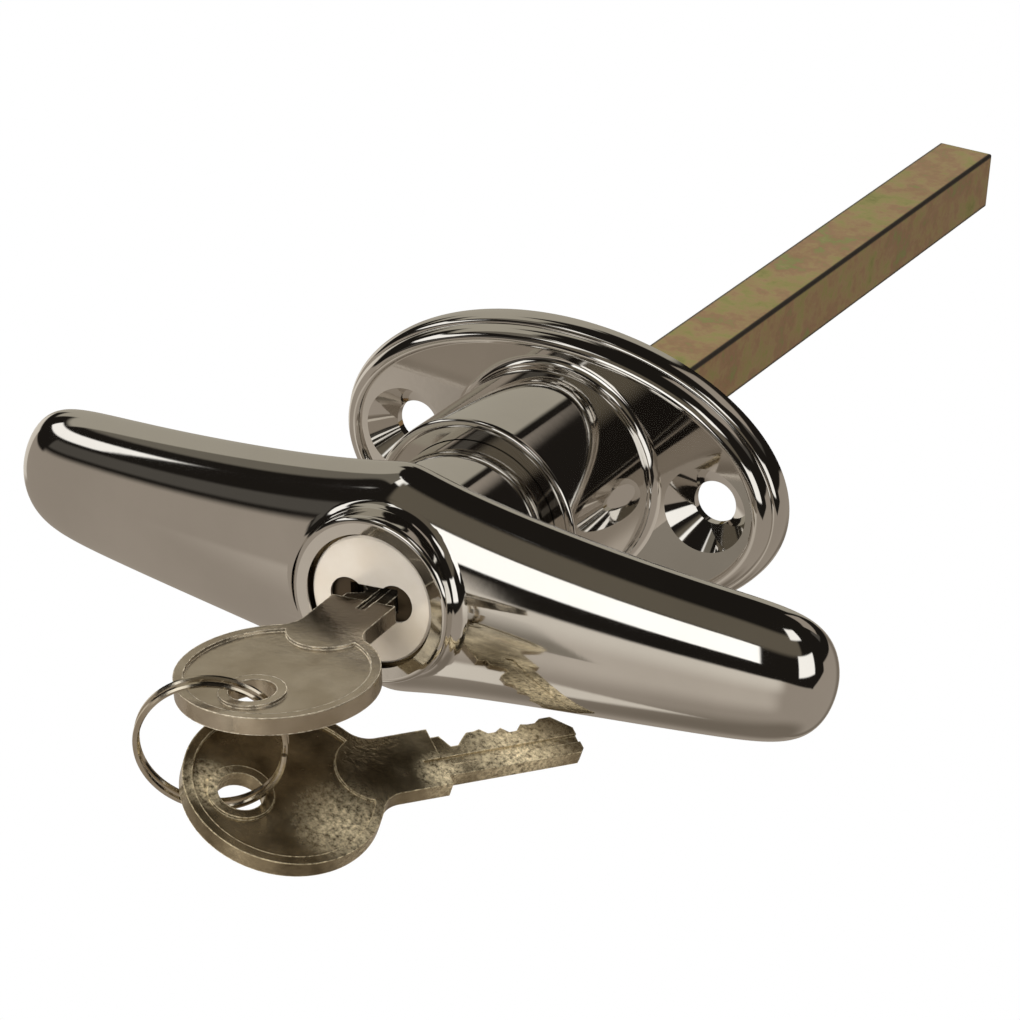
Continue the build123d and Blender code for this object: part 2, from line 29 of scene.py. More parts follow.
CAMERA_PLACE = (0.20509, -0.43092, 0.20874)
CAMERA_AIM = (-0.00464, -0.00526, -0.00610)
CAMERA_ROLL = 4.0857
CAMERA_LENS = 153.37
CAMERA_NEAR = 0.05
FLOOR_HEIGHT = -0.060
FLOOR_REACH = 2.5
BACKDROP_WHITE = (1.0, 1.0, 1.0, 1.0)
FLOOR_COLOUR = (0.62, 0.59, 0.56, 1.0)
SOFTBOX_COLOUR = (1.0, 0.98, 0.95)

# Fineness of the surfaces that are drawn here, and how far a wall runs on below a round
MM = 0.001
WALL_OVERLAP = 0.1 * MM
GRIP_STATIONS = 320
GRIP_POINTS = 120
FLARE_DIRECTIONS = 200
FLARE_STEPS = 14
FLARE_SEARCH = 20
TURN_SIDES = 160
ROSE_SIDES = 240
HOLE_SIDES = 96
ROUND_STEPS = 10
FOOT_STEPS = 12
SLOPE_STEPS = 16
SOCKET_STEPS = 16

# Sizes of the handle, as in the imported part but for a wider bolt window, for a finer surface
SPINDLE_SIDE = 8.0 * MM
GRIP_HALF_LENGTH = 51.8 * MM
GRIP_MID_HEIGHT = 27.8 * MM
GRIP_TIP_HEIGHT = 12.6 * MM
GRIP_HEIGHT_POWER = 0.53
GRIP_PEAK_ROUND = 2.0 * MM
GRIP_MID_DEPTH = 12.5 * MM
GRIP_TIP_DEPTH = 10.0 * MM
GRIP_FRONT = 46.9 * MM
GRIP_SWEEP = 3.2 * MM
GRIP_SWEEP_POWER = 2.7
GRIP_SQUARENESS = 1.9
GRIP_END_HEIGHT_POWER = 20
GRIP_END_DEPTH_POWER = 25
GRIP_END_ANGLE = 89.93
GRIP_TIP_TRIM = 0.9996
GRIP_EVEN_SHARE = 0.3
BOSS_RADIUS = 9.95 * MM
BOSS_FRONT = 48.4 * MM
BOSS_FLARE = 1.6 * MM
BOSS_EDGE_ROUND = 0.7 * MM
BORE_RADIUS = 7.93 * MM
BORE_FLOOR = 24.4 * MM
SHANK_RADIUS = 10.42 * MM
SHANK_SHOULDER = 5.1 * MM
SHANK_END_RADIUS = 8.0 * MM
SHANK_END = 0.6 * MM
SHANK_GROOVE_RADIUS = 7.35 * MM
SHANK_GROOVE = (1.96 * MM, 3.0 * MM)
PLUG_FACE = 47.8 * MM
BOLT_WINDOW = (19.1 * MM, 22.3 * MM)
BOLT_WINDOW_HALF_WIDTH = 3.3 * MM
BOLT_WINDOW_TOP = 5.5 * MM
SOCKET_SIDE = 8.1 * MM
SOCKET_DEPTH = 17.8 * MM

# Sizes of the rose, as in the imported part, but with its step, bead and hub lip rounder
ROSE_HALF_WIDTH = 29.2 * MM
ROSE_HALF_HEIGHT = 18.0 * MM
ROSE_STEP = 2.7 * MM
ROSE_STEP_ROUND = 1.9 * MM
ROSE_LEDGE = 0.9 * MM
ROSE_BEAD_TOP = 4.9 * MM
ROSE_BEAD_CREST = 2.35 * MM
ROSE_RIM_WIDTH = 3.0 * MM
ROSE_FLOOR = 4.0 * MM
ROSE_POCKET = 1.5 * MM
ROSE_EDGE_WALL = 2.4 * MM
SCREW_OFFSET = 20.1 * MM
SCREW_HOLE_RADIUS = 2.7 * MM
SCREW_HEAD_RADIUS = 5.25 * MM
SCREW_PAD_RADIUS = 4.9 * MM
SINK_HALF_ANGLE = 41
HUB_RADIUS = 13.2 * MM
HUB_FRONT = 24.1 * MM
HUB_FOOT_ROUND = 1.2 * MM
HUB_EDGE_ROUND = 0.5 * MM
HUB_LIP_RADIUS = 12.0 * MM
HUB_LIP_DEPTH = 0.7 * MM
HUB_BORE_RADIUS = 10.5 * MM
HUB_SEAT_RADIUS = 12.2 * MM
HUB_SEAT_DEPTH = 5.0 * MM
HUB_WALL_RADIUS = 13.8 * MM
NOTCH_HALF_WIDTH = 3.3 * MM
NOTCH_REACH = 12.3 * MM
NOTCH_END = 22.5 * MM
NOTCH_DIRECTIONS = ((-1, 0), (0, -1), (1, 0))

# Grain of the metals: how much finer wear and relief are than the tint, and the relief's height
WEAR_FINENESS = 3.1
RELIEF_FINENESS = 12.0
RELIEF_HEIGHT = 0.05 * MM

# Detail and roughness of each noise, the values between which it acts, and the share of painted glints
TINT_NOISE = (4.0, 0.55)
WEAR_NOISE = (5.0, 0.6)
RELIEF_NOISE = (3.0, 0.5)
PATCH_NOISE = (5.0, 0.72)
SPARK_NOISE = (4.0, 0.75)
TINT_RANGE = (0.35, 0.65)
WEAR_RANGE = (0.3, 0.7)
SPARK_RANGE = (0.36, 0.66)
SPARK_SHARE = (0.04, 0.92)

# Samples of a soft edge, cosines of the bend over which an edge wears and takes painted glints,
# and how far behind its front face a lock part takes painted shade
BEVEL_SAMPLES = 6
EDGE_BEND = (0.97, 0.80)
INSIDE_SHADE_FADE = (0.1 * MM, 0.5 * MM)

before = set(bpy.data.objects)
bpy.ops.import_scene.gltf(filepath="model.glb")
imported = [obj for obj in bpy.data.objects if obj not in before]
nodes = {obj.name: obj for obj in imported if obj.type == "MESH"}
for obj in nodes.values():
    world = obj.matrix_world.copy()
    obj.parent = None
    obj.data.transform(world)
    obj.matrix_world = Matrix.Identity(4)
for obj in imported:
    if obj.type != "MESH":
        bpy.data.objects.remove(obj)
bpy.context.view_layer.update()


# Small helpers for node materials
def new_material(name):
    """Node material with no nodes in it yet; returns the material and its node tree."""
    material = bpy.data.materials.new(name)
    material.use_nodes = True
    material.node_tree.nodes.clear()
    return material, material.node_tree


def add(tree, kind, **values):
    """New shader node with its sockets set by name and its options by attribute."""
    node = tree.nodes.new(kind)
    for key, value in values.items():
        if key in node.inputs:
            node.inputs[key].default_value = value
        else:
            setattr(node, key, value)
    return node


def wire(tree, source, output, target, socket):
    """Link one named output to one input, given by its name or place."""
    tree.links.new(source.outputs[output], target.inputs[socket])


def mapped(tree, source, start, end, low=0.0, high=1.0, kind="SMOOTHSTEP"):
    """Socket that runs from low to high as the source runs from start to end."""
    node = add(tree, "ShaderNodeMapRange", interpolation_type=kind)
    limits = {"From Min": start, "From Max": end, "To Min": low, "To Max": high}
    for socket, value in limits.items():
        node.inputs[socket].default_value = value
    tree.links.new(source, node.inputs["Value"])
    return node.outputs["Result"]


def object_place(tree):
    """Socket with the place on the piece, in the part's own frame."""
    return add(tree, "ShaderNodeTexCoord").outputs["Object"]


def object_axes(tree):
    """Node whose outputs X, Y and Z are the place on the piece."""
    parts = add(tree, "ShaderNodeSeparateXYZ")
    tree.links.new(object_place(tree), parts.inputs["Vector"])
    return parts


def distance_from(tree, centre):
    """Socket with the distance from a point."""
    apart = add(tree, "ShaderNodeVectorMath", operation="DISTANCE")
    tree.links.new(object_place(tree), apart.inputs[0])
    apart.inputs[1].default_value = centre
    return apart.outputs["Value"]


def noise(tree, grain, detail, roughness):
    """Socket with noise over the piece, at a grain size per metre."""
    node = add(tree, "ShaderNodeTexNoise", Scale=grain, Detail=detail, Roughness=roughness)
    tree.links.new(object_place(tree), node.inputs["Vector"])
    return node.outputs["Fac"]


def combined(tree, operation, first, second):
    """Socket with a sum, product or the like of two sockets."""
    node = add(tree, "ShaderNodeMath", operation=operation)
    tree.links.new(first, node.inputs[0])
    tree.links.new(second, node.inputs[1])
    return node.outputs["Value"]


def camera_sees(tree, others, camera_only):
    """Shader that is one thing to the camera and another to all other rays."""
    path = add(tree, "ShaderNodeLightPath")
    pick = add(tree, "ShaderNodeMixShader")
    wire(tree, path, "Is Camera Ray", pick, "Fac")
    tree.links.new(others, pick.inputs[1])
    tree.links.new(camera_only, pick.inputs[2])
    return pick.outputs["Shader"]


def find(tree, kind):
    """The tree's node of one kind."""
    return next(node for node in tree.nodes if node.type == kind)


def ramp(tree, stops):
    """Colour ramp with the given positions and colours."""
    node = tree.nodes.new("ShaderNodeValToRGB")
    band = node.color_ramp
    stops = list(stops)
    while len(band.elements) < len(stops):
        band.elements.new(0.5)
    for element, (place, colour) in zip(band.elements, stops):
        element.position = place
        element.color = (*colour, 1.0)
    return node


def metal(name, colour, other, rough, rough_spread, grain, bump, soft_edge=0.0, matte=0.0):
    """Metal whose colour, gloss and fine relief vary with noise at grain sizes per metre."""
    material, tree = new_material(name)
    out = add(tree, "ShaderNodeOutputMaterial")
    shader = add(tree, "ShaderNodeBsdfPrincipled", Metallic=1.0 - matte)
    wire(tree, shader, "BSDF", out, "Surface")
    tint = ramp(tree, zip(TINT_RANGE, (colour, other)))
    tree.links.new(noise(tree, grain, *TINT_NOISE), tint.inputs["Fac"])
    wire(tree, tint, "Color", shader, "Base Color")
    wear = noise(tree, grain * WEAR_FINENESS, *WEAR_NOISE)
    gloss = mapped(tree, wear, *WEAR_RANGE, rough, rough + rough_spread, "LINEAR")
    tree.links.new(gloss, shader.inputs["Roughness"])
    relief = add(tree, "ShaderNodeBump", Strength=bump, Distance=RELIEF_HEIGHT)
    tree.links.new(noise(tree, grain * RELIEF_FINENESS, *RELIEF_NOISE), relief.inputs["Height"])
    if soft_edge:
        worn = add(tree, "ShaderNodeBevel", Radius=soft_edge, samples=BEVEL_SAMPLES)
        wire(tree, worn, "Normal", relief, "Normal")
    wire(tree, relief, "Normal", shader, "Normal")
    return material


def overlay(tree, share, colour):
    """Lay a colour over the metal's own colour by a share."""
    base = find(tree, "BSDF_PRINCIPLED").inputs["Base Color"]
    shade = add(tree, "ShaderNodeMix", data_type="RGBA", blend_type="MIX")
    tree.links.new(share, shade.inputs["Factor"])
    tree.links.new(base.links[0].from_socket, shade.inputs[6])
    shade.inputs[7].default_value = (*colour, 1.0)
    tree.links.new(shade.outputs[2], base)


def painted_corner_shade(material, half_side, width, colour):
    """Paint shade on a square bar along its four long corners, as dark lines."""
    tree = material.node_tree
    parts = object_axes(tree)
    sides = []
    for axis in ("X", "Z"):
        side = add(tree, "ShaderNodeMath", operation="ABSOLUTE")
        wire(tree, parts, axis, side, 0)
        sides.append(side.outputs["Value"])
    nearest = combined(tree, "MINIMUM", *sides)
    overlay(tree, mapped(tree, nearest, half_side - width, half_side - width / 2), colour)


def painted_shade_round(material, centre, radius, colour):
    """Paint shade on the metal round a point, darkest within a third of the radius."""
    tree = material.node_tree
    overlay(tree, mapped(tree, distance_from(tree, centre), radius, radius / 3), colour)


def painted_shade_inside(material, front, colour):
    """Paint shade on what lies behind the front face of a lock part, as seen down its openings."""
    tree = material.node_tree
    start, end = (reach - front for reach in INSIDE_SHADE_FADE)
    overlay(tree, mapped(tree, object_axes(tree).outputs["Y"], start, end), colour)


def mottled(material, stops, grain):
    """Lay patches of several tints in place of a metal's own colour."""
    tree = material.node_tree
    tints = ramp(tree, stops)
    tree.links.new(noise(tree, grain, *PATCH_NOISE), tints.inputs["Fac"])
    wire(tree, tints, "Color", find(tree, "BSDF_PRINCIPLED"), "Base Color")


def painted_glints_and_edge_wear(material, spots, colour, grain, edge):
    """Painted glints: pale grains laid over the metal at each spot of centre and radius, and along the
    edges, where they stand for wear as well.
    """
    tree = material.node_tree
    worn = add(tree, "ShaderNodeBevel", Radius=edge, samples=BEVEL_SAMPLES)
    flat = add(tree, "ShaderNodeNewGeometry")
    bend = add(tree, "ShaderNodeVectorMath", operation="DOT_PRODUCT")
    wire(tree, worn, "Normal", bend, 0)
    wire(tree, flat, "True Normal", bend, 1)
    reach = mapped(tree, bend.outputs["Value"], *EDGE_BEND, kind="LINEAR")
    for centre, radius in spots:
        spot = mapped(tree, distance_from(tree, centre), radius, 0.0)
        reach = combined(tree, "MAXIMUM", reach, spot)
    grains = noise(tree, grain, *SPARK_NOISE)
    catch = mapped(tree, grains, *SPARK_RANGE, *SPARK_SHARE, "LINEAR")
    lit = add(tree, "ShaderNodeBsdfDiffuse", Color=(*colour, 1.0))
    blend = add(tree, "ShaderNodeMixShader")
    tree.links.new(combined(tree, "MULTIPLY", reach, catch), blend.inputs["Fac"])
    wire(tree, find(tree, "BSDF_PRINCIPLED"), "BSDF", blend, 1)
    wire(tree, lit, "BSDF", blend, 2)
    wire(tree, blend, "Shader", find(tree, "OUTPUT_MATERIAL"), "Surface")


# Finishes of the separate pieces: places of zinc tints, and centres and radii of painted glints in
# metres
ZINC_TINTS = [
    (0.28, (0.30, 0.32, 0.09)),
    (0.40, (0.46, 0.43, 0.15)),
    (0.49, (0.54, 0.40, 0.19)),
    (0.57, (0.50, 0.30, 0.17)),
    (0.66, (0.38, 0.41, 0.14)),
    (0.78, (0.56, 0.42, 0.22)),
]
SPARE_GLINTS = [
    ((0.0090, -0.0682, -0.0159), 0.0070),
    ((0.0141, -0.0550, -0.0144), 0.0040),
    ((0.0190, -0.0465, -0.0140), 0.0090),
    ((-0.0042, -0.0740, -0.0126), 0.0045),
]
# Centre of the painted shade on the working key's neck, and width of the keys' edge wear with painted
# glints
KEY_NECK_SHADE_CENTRE = (0.0, -0.0520, 0.0)
KEY_EDGE_WEAR_AND_GLINTS = 0.32 * MM
chrome = metal("chrome_plate", (0.80, 0.78, 0.75), (0.74, 0.72, 0.69), 0.035, 0.03, 60, 0.03)
yellow_zinc = metal(
    "yellow_zinc_plate", (0.62, 0.52, 0.30), (0.70, 0.55, 0.38), 0.30, 0.10, 90, 0.30, 0.8 * MM, 0.3
)
mottled(yellow_zinc, ZINC_TINTS, 150)
# Painted shade: dark lines along the spindle's four long corners
painted_corner_shade(yellow_zinc, SPINDLE_SIDE / 2, 0.60 * MM, (0.07, 0.06, 0.05))
nickel_key = metal(
    "nickel_key", (0.62, 0.55, 0.44), (0.46, 0.39, 0.29), 0.13, 0.14, 160, 0.6, 0.3 * MM, 0.1
)
# Painted shade: the working key's neck darkened round a point near the lock
painted_shade_round(nickel_key, KEY_NECK_SHADE_CENTRE, 9.5 * MM, (0.11, 0.085, 0.055))
# Painted glints along the working key's edges, which also stand for edge wear
painted_glints_and_edge_wear(nickel_key, [], (0.90, 0.80, 0.62), 1500, KEY_EDGE_WEAR_AND_GLINTS)
# The spare key's nickel, with tints darker than the working key's as painted shade
nickel_spare_painted_shade = metal(
    "nickel_spare_painted_shade", (0.50, 0.42, 0.28), (0.18, 0.14, 0.08), 0.12, 0.16, 190, 0.9, 0.3 * MM, 0.1
)
# Painted glints at set spots on the spare key, and along its edges together with edge wear
painted_glints_and_edge_wear(nickel_spare_painted_shade, SPARE_GLINTS, (0.98, 0.84, 0.56), 1700, KEY_EDGE_WEAR_AND_GLINTS)
nickel_plug = metal(
    "nickel_plug", (1.0, 0.94, 0.85), (0.94, 0.86, 0.75), 0.15, 0.08, 220, 0.15, matte=0.5
)
# Painted shade: the plug dark behind its front face, down the keyway
painted_shade_inside(nickel_plug, PLUG_FACE, (0.07, 0.05, 0.03))
nickel_wire = metal("nickel_wire", (0.74, 0.68, 0.58), (0.60, 0.53, 0.42), 0.10, 0.08, 260, 0.10)
lock_brass = metal("turned_brass", (0.24, 0.19, 0.11), (0.16, 0.12, 0.07), 0.22, 0.10, 200, 0.15)
wafer_brass = metal("stamped_brass", (0.76, 0.60, 0.30), (0.66, 0.50, 0.24), 0.25, 0.10, 240, 0.15)
bright_steel = metal("bright_steel", (0.56, 0.56, 0.55), (0.48, 0.48, 0.47), 0.25, 0.10, 180, 0.15)
spring_steel = metal("spring_steel", (0.44, 0.44, 0.46), (0.36, 0.36, 0.38), 0.28, 0.10, 240, 0.10)

finishes = {
    "rose": chrome,
    "handle": chrome,
    "spindle": yellow_zinc,
    "spindle_pin": bright_steel,
    "barrel_pin": bright_steel,
    "thrust_washer": bright_steel,
    "lock_bolt": bright_steel,
    "spring_washer": spring_steel,
    "retaining_ring": spring_steel,
    "plug_clip": spring_steel,
    "lock_barrel": lock_brass,
    "lock_plug": nickel_plug,
    "working_key": nickel_key,
    "spare_key": nickel_spare_painted_shade,
    "key_ring": nickel_wire,
}
for name, node in nodes.items():
    if name.startswith("wafer_spring"):
        finish = spring_steel
    elif name.startswith("wafer"):
        finish = wafer_brass
    else:
        finish = finishes[name]
    node.data.materials.clear()
    node.data.materials.append(finish)


# Fine surfaces: patches of quads, each smooth in itself and sharp towards the next. Profiles run
# to the front along outer walls and to the back along bores, so that every face looks outwards.
def patch(form, rows, closed=True):
    """Grid of quads between rows of points; a closed row joins its end to its start."""
    points, faces = form
    start = len(points)
    count = len(rows[0])
    for row in rows:
        points.extend(row)
    for line in range(len(rows) - 1):
        for column in range(count if closed else count - 1):
            beside = (column + 1) % count
            near = start + line * count
            faces.append((near + column, near + beside, near + count + beside, near + count + column))


def ring(radius, depth, sides, across=0.0):
    """Circle of points at a depth, centred on the spindle's axis or to the side of it."""
    angles = [2 * pi * side / sides for side in range(sides)]
    return [(radius * cos(angle) + across, -depth, radius * sin(angle)) for angle in angles]


def turned(form, profile, sides=TURN_SIDES, across=0.0):
    """Surface turned about the spindle's axis, or beside it, from pairs of radius and depth."""
    patch(form, [ring(radius, depth, sides, across) for radius, depth in profile])


def stepped(form, profile, sides=TURN_SIDES, across=0.0):
    """Turned surface with a sharp corner at each point of its profile."""
    for start, end in zip(profile, profile[1:]):
        turned(form, [start, end], sides, across)


def drop_faces(form, first, inside):
    """Leave out each face, from the first one given, whose own first corner lies inside."""
    points, faces = form
    faces[first:] = [face for face in faces[first:] if not inside(*points[face[0]])]


def upright_walls(form, corners, depths):
    """Flat walls between the corners, given as x and z, from one depth to another."""
    for start, end in zip(corners, corners[1:]):
        patch(form, [[(x, -depth, z) for x, z in (start, end)] for depth in depths], closed=False)


def flat_end(form, corners, depth):
    """Flat face over four corners at a depth."""
    rows = [[(x, -depth, z) for x, z in pair] for pair in (corners[:2], corners[:1:-1])]
    patch(form, rows, closed=False)


def fine_piece(name, form, body, node):
    """Smooth shaded mesh of the form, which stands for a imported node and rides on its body."""
    mesh = bpy.data.meshes.new(name)
    mesh.from_pydata(form[0], [], form[1])
    mesh.polygons.foreach_set("use_smooth", [True] * len(mesh.polygons))
    mesh.materials.append(finishes[node])
    piece = bpy.data.objects.new(name, mesh)
    bpy.context.scene.collection.objects.link(piece)
    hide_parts(node)
    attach(piece, body)


def grip_half_height(x):
    """Half height of the grip at x before its tip is rounded off."""
    share = hypot(x, GRIP_PEAK_ROUND) ** GRIP_HEIGHT_POWER - GRIP_PEAK_ROUND**GRIP_HEIGHT_POWER
    share = share / GRIP_HALF_LENGTH**GRIP_HEIGHT_POWER
    return (GRIP_MID_HEIGHT - (GRIP_MID_HEIGHT - GRIP_TIP_HEIGHT) * share) / 2


def grip_half_depth(x):
    """Half depth of the grip at x before its tip is rounded off."""
    share = (hypot(x, GRIP_PEAK_ROUND) - GRIP_PEAK_ROUND) / GRIP_HALF_LENGTH
    return (GRIP_MID_DEPTH - (GRIP_MID_DEPTH - GRIP_TIP_DEPTH) * share) / 2


def grip_centre(x):
    """Depth of the grip's middle line in front of the door."""
    return GRIP_FRONT - GRIP_MID_DEPTH / 2 - GRIP_SWEEP * (abs(x) / GRIP_HALF_LENGTH) ** GRIP_SWEEP_POWER


def end_cap(x, power):
    """Factor that rounds the grip off at its tip."""
    return sqrt(1 - (abs(x) / GRIP_HALF_LENGTH) ** power)


def grip_front(x, z):
    """Depth of the grip's front surface at x and z, or None beside the grip."""
    share = abs(z) / grip_half_height(x)
    if share >= 1:
        return None
    bulge = (1 - share**GRIP_SQUARENESS) ** (1 / GRIP_SQUARENESS)
    return grip_centre(x) + grip_half_depth(x) * bulge


def grip_row(x):
    """Ring of points round the grip at x."""
    half_height = grip_half_height(x) * end_cap(x, GRIP_END_HEIGHT_POWER)
    half_depth = grip_half_depth(x) * end_cap(x, GRIP_END_DEPTH_POWER)
    row = []
    for step in range(GRIP_POINTS):
        angle = 2 * pi * step / GRIP_POINTS
        back = cos(angle)
        up = sin(angle)
        reach = (abs(back) ** GRIP_SQUARENESS + abs(up) ** GRIP_SQUARENESS) ** (-1 / GRIP_SQUARENESS)
        row.append((x, -grip_centre(x) + half_depth * reach * back, half_height * reach * up))
    return row


def boss_flare_rows():
    """Rows of the round between the boss and the grip, as a ball rolls in the corner."""
    middle = BOSS_RADIUS + BOSS_FLARE
    sink = 0.004 * MM
    tail = 0.2 * MM
    columns = []
    for index in range(FLARE_DIRECTIONS):
        angle = 2 * pi * index / FLARE_DIRECTIONS
        outward = Vector((cos(angle), 0, sin(angle)))
        spot = middle * outward
        rest = None
        for across in range(-FLARE_SEARCH, FLARE_SEARCH + 1):
            for along in range(-FLARE_SEARCH, FLARE_SEARCH + 1):
                shift = Vector((across, 0, along)) * BOSS_FLARE / (FLARE_SEARCH + 1)
                depth = grip_front(spot.x + shift.x, spot.z + shift.z)
                if depth is None or shift.length >= BOSS_FLARE:
                    continue
                top = depth + sqrt(BOSS_FLARE**2 - shift.length_squared)
                if rest is None or top > rest[0]:
                    rest = (top, shift, depth)
        ball = spot + Vector((0, -rest[0], 0))
        wall = -outward
        floor_side = (spot + rest[1] + Vector((0, -rest[2], 0)) - ball).normalized()
        column = [ball + BOSS_FLARE * wall + Vector((0, -tail, 0)) - sink * outward]
        for step in range(FLARE_STEPS + 1):
            column.append(ball + BOSS_FLARE * wall.slerp(floor_side, step / FLARE_STEPS))
        ahead = (column[-1] - column[-2]).normalized()
        column.append(column[-1] + tail * ahead + sink * floor_side)
        columns.append(column)
    return [[tuple(spot) for spot in row] for row in zip(*columns)][::-1]


def quarter(inset, depth, width, rise, start=0, steps=ROUND_STEPS):
    """Pairs of inset or radius and depth along a quarter of an oval, from a start angle."""
    turns = [radians(start + 90 * step / steps) for step in range(steps + 1)]
    return [(inset - width * cos(turn), depth + rise * sin(turn)) for turn in turns]


def rounded_edge(radius, depth, size):
    """Profile of a wall that turns into a front face over a round of the given size."""
    centre = (radius - size, depth - size)
    return [(radius, depth - size - WALL_OVERLAP), *quarter(*centre, -size, size)]


# Handle: the grip with stations close together at its middle and tips, open where the lock goes in
handle_form = ([], [])
grip_rows = []
for station in range(GRIP_STATIONS + 1):
    place = 2 * station / GRIP_STATIONS - 1
    spread = GRIP_EVEN_SHARE * place + (1 - GRIP_EVEN_SHARE) * place**3
    row = grip_row(GRIP_HALF_LENGTH * sin(radians(GRIP_END_ANGLE * spread)))
    grip_rows.append([(x * GRIP_TIP_TRIM, y, z) for x, y, z in row])
patch(handle_form, grip_rows)
opening = (BOSS_RADIUS + BORE_RADIUS) / 2
drop_faces(handle_form, 0, lambda x, y, z: y <= -grip_centre(0) and hypot(x, z) <= opening)
points, faces = handle_form
faces.append(tuple(reversed(range(GRIP_POINTS))))
faces.append(tuple(range(len(points) - GRIP_POINTS, len(points))))
patch(handle_form, boss_flare_rows())
boss_edge = rounded_edge(BOSS_RADIUS, BOSS_FRONT, BOSS_EDGE_ROUND)
turned(handle_form, [(BOSS_RADIUS, grip_centre(0)), *boss_edge])
boss_face = (BOSS_RADIUS - BOSS_EDGE_ROUND, BOSS_FRONT)
stepped(handle_form, [boss_face, (BORE_RADIUS, BOSS_FRONT), (BORE_RADIUS, BORE_FLOOR)])
turned(handle_form, [(SHANK_RADIUS, BOLT_WINDOW[1]), (SHANK_RADIUS, grip_centre(0))])

# The bolt's opening in the lower side of the shank, and its pocket
first = len(faces)
turned(handle_form, [(SHANK_RADIUS, BOLT_WINDOW[0]), (SHANK_RADIUS, BOLT_WINDOW[1])])
drop_faces(handle_form, first, lambda x, y, z: z <= 0 and abs(x) <= BOLT_WINDOW_HALF_WIDTH)
pocket_foot = -sqrt(SHANK_RADIUS**2 - BOLT_WINDOW_HALF_WIDTH**2)
bolt_pocket = [
    (-BOLT_WINDOW_HALF_WIDTH, pocket_foot),
    (-BOLT_WINDOW_HALF_WIDTH, BOLT_WINDOW_TOP),
    (BOLT_WINDOW_HALF_WIDTH, BOLT_WINDOW_TOP),
    (BOLT_WINDOW_HALF_WIDTH, pocket_foot),
]
upright_walls(handle_form, bolt_pocket, BOLT_WINDOW)
flat_end(handle_form, bolt_pocket[::-1], BOLT_WINDOW[0])
flat_end(handle_form, bolt_pocket, BOLT_WINDOW[1])

# The shank's shoulder, its end with the groove, and the square socket for the spindle
shank = [
    (SHANK_END_RADIUS, SHANK_END),
    (SHANK_END_RADIUS, SHANK_GROOVE[0]),
    (SHANK_GROOVE_RADIUS, SHANK_GROOVE[0]),
    (SHANK_GROOVE_RADIUS, SHANK_GROOVE[1]),
    (SHANK_END_RADIUS, SHANK_GROOVE[1]),
    (SHANK_END_RADIUS, SHANK_SHOULDER),
    (SHANK_RADIUS, SHANK_SHOULDER),
    (SHANK_RADIUS, BOLT_WINDOW[0]),
]
stepped(handle_form, shank)
half = SOCKET_SIDE / 2
square = [(half, half), (-half, half), (-half, -half), (half, -half), (half, half)]
mouth = []
rim = []
for (x, z), (next_x, next_z) in zip(square, square[1:]):
    for step in range(SOCKET_STEPS):
        share = step / SOCKET_STEPS
        spot = Vector((x + (next_x - x) * share, -SHANK_END, z + (next_z - z) * share))
        mouth.append(tuple(spot))
        away = SHANK_END_RADIUS / hypot(spot.x, spot.z)
        rim.append((spot.x * away, -SHANK_END, spot.z * away))
patch(handle_form, [mouth, rim])
upright_walls(handle_form, square, (SOCKET_DEPTH, SHANK_END))
fine_piece("handle_fine", handle_form, "handle", "handle")


def oval(inset, depth):
    """Ring of points on the rose's oval, drawn in by inset, at a depth."""
    row = []
    for side in range(ROSE_SIDES):
        angle = 2 * pi * side / ROSE_SIDES
        across = (ROSE_HALF_WIDTH - inset) * cos(angle)
        row.append((across, -depth, (ROSE_HALF_HEIGHT - inset) * sin(angle)))
    return row


def flat_with_holes(form, depth, outline, holes, side):
    """Flat face with round holes of x, radius; side is -1 to be seen in front, 1 from behind."""
    flat = bmesh.new()
    loops = [outline, *(ring(radius, depth, HOLE_SIDES, x) for x, radius in holes)]
    edges = []
    for loop in loops:
        corners = [flat.verts.new(point) for point in loop]
        edges += [flat.edges.new((corners[i - 1], corners[i])) for i in range(len(corners))]
    bmesh.ops.triangle_fill(flat, use_beauty=True, use_dissolve=False, edges=edges)
    flat.verts.index_update()
    flat.normal_update()
    start = len(form[0])
    form[0].extend(tuple(corner.co) for corner in flat.verts)
    for face in flat.faces:
        order = 1 if face.normal.y * side > 0 else -1
        form[1].append(tuple(start + corner.index for corner in face.verts)[::order])
    flat.free()


# Rose: step, sloping bead, floor with countersunk holes, hub with its lip, and the hollow back
rose_form = ([], [])
step_foot = ROSE_STEP - ROSE_STEP_ROUND
step_wall = (0, step_foot - WALL_OVERLAP)
patch(rose_form, [oval(0, 0), oval(*step_wall)])
step_round = quarter(ROSE_LEDGE, step_foot, ROSE_LEDGE, ROSE_STEP_ROUND)
patch(rose_form, [oval(*point) for point in [step_wall, *step_round]])
slope_width = ROSE_BEAD_CREST - ROSE_LEDGE
slope_rise = ROSE_BEAD_TOP - ROSE_STEP
slope = quarter(ROSE_BEAD_CREST, ROSE_STEP, slope_width, slope_rise, steps=SLOPE_STEPS)
patch(rose_form, [oval(*point) for point in slope])
inner_width = ROSE_RIM_WIDTH - ROSE_BEAD_CREST
fall = quarter(ROSE_BEAD_CREST, ROSE_FLOOR, inner_width, ROSE_BEAD_TOP - ROSE_FLOOR, 90)
patch(rose_form, [oval(*point) for point in fall])
foot_radius = HUB_RADIUS + HUB_FOOT_ROUND
floor_holes = [(-SCREW_OFFSET, SCREW_HEAD_RADIUS), (SCREW_OFFSET, SCREW_HEAD_RADIUS), (0, foot_radius)]
flat_with_holes(rose_form, ROSE_FLOOR, oval(ROSE_RIM_WIDTH, ROSE_FLOOR), floor_holes, -1)
foot_centre = (foot_radius, ROSE_FLOOR + HUB_FOOT_ROUND)
hub_foot = quarter(*foot_centre, HUB_FOOT_ROUND, HUB_FOOT_ROUND, -90, FOOT_STEPS)
turned(rose_form, hub_foot)
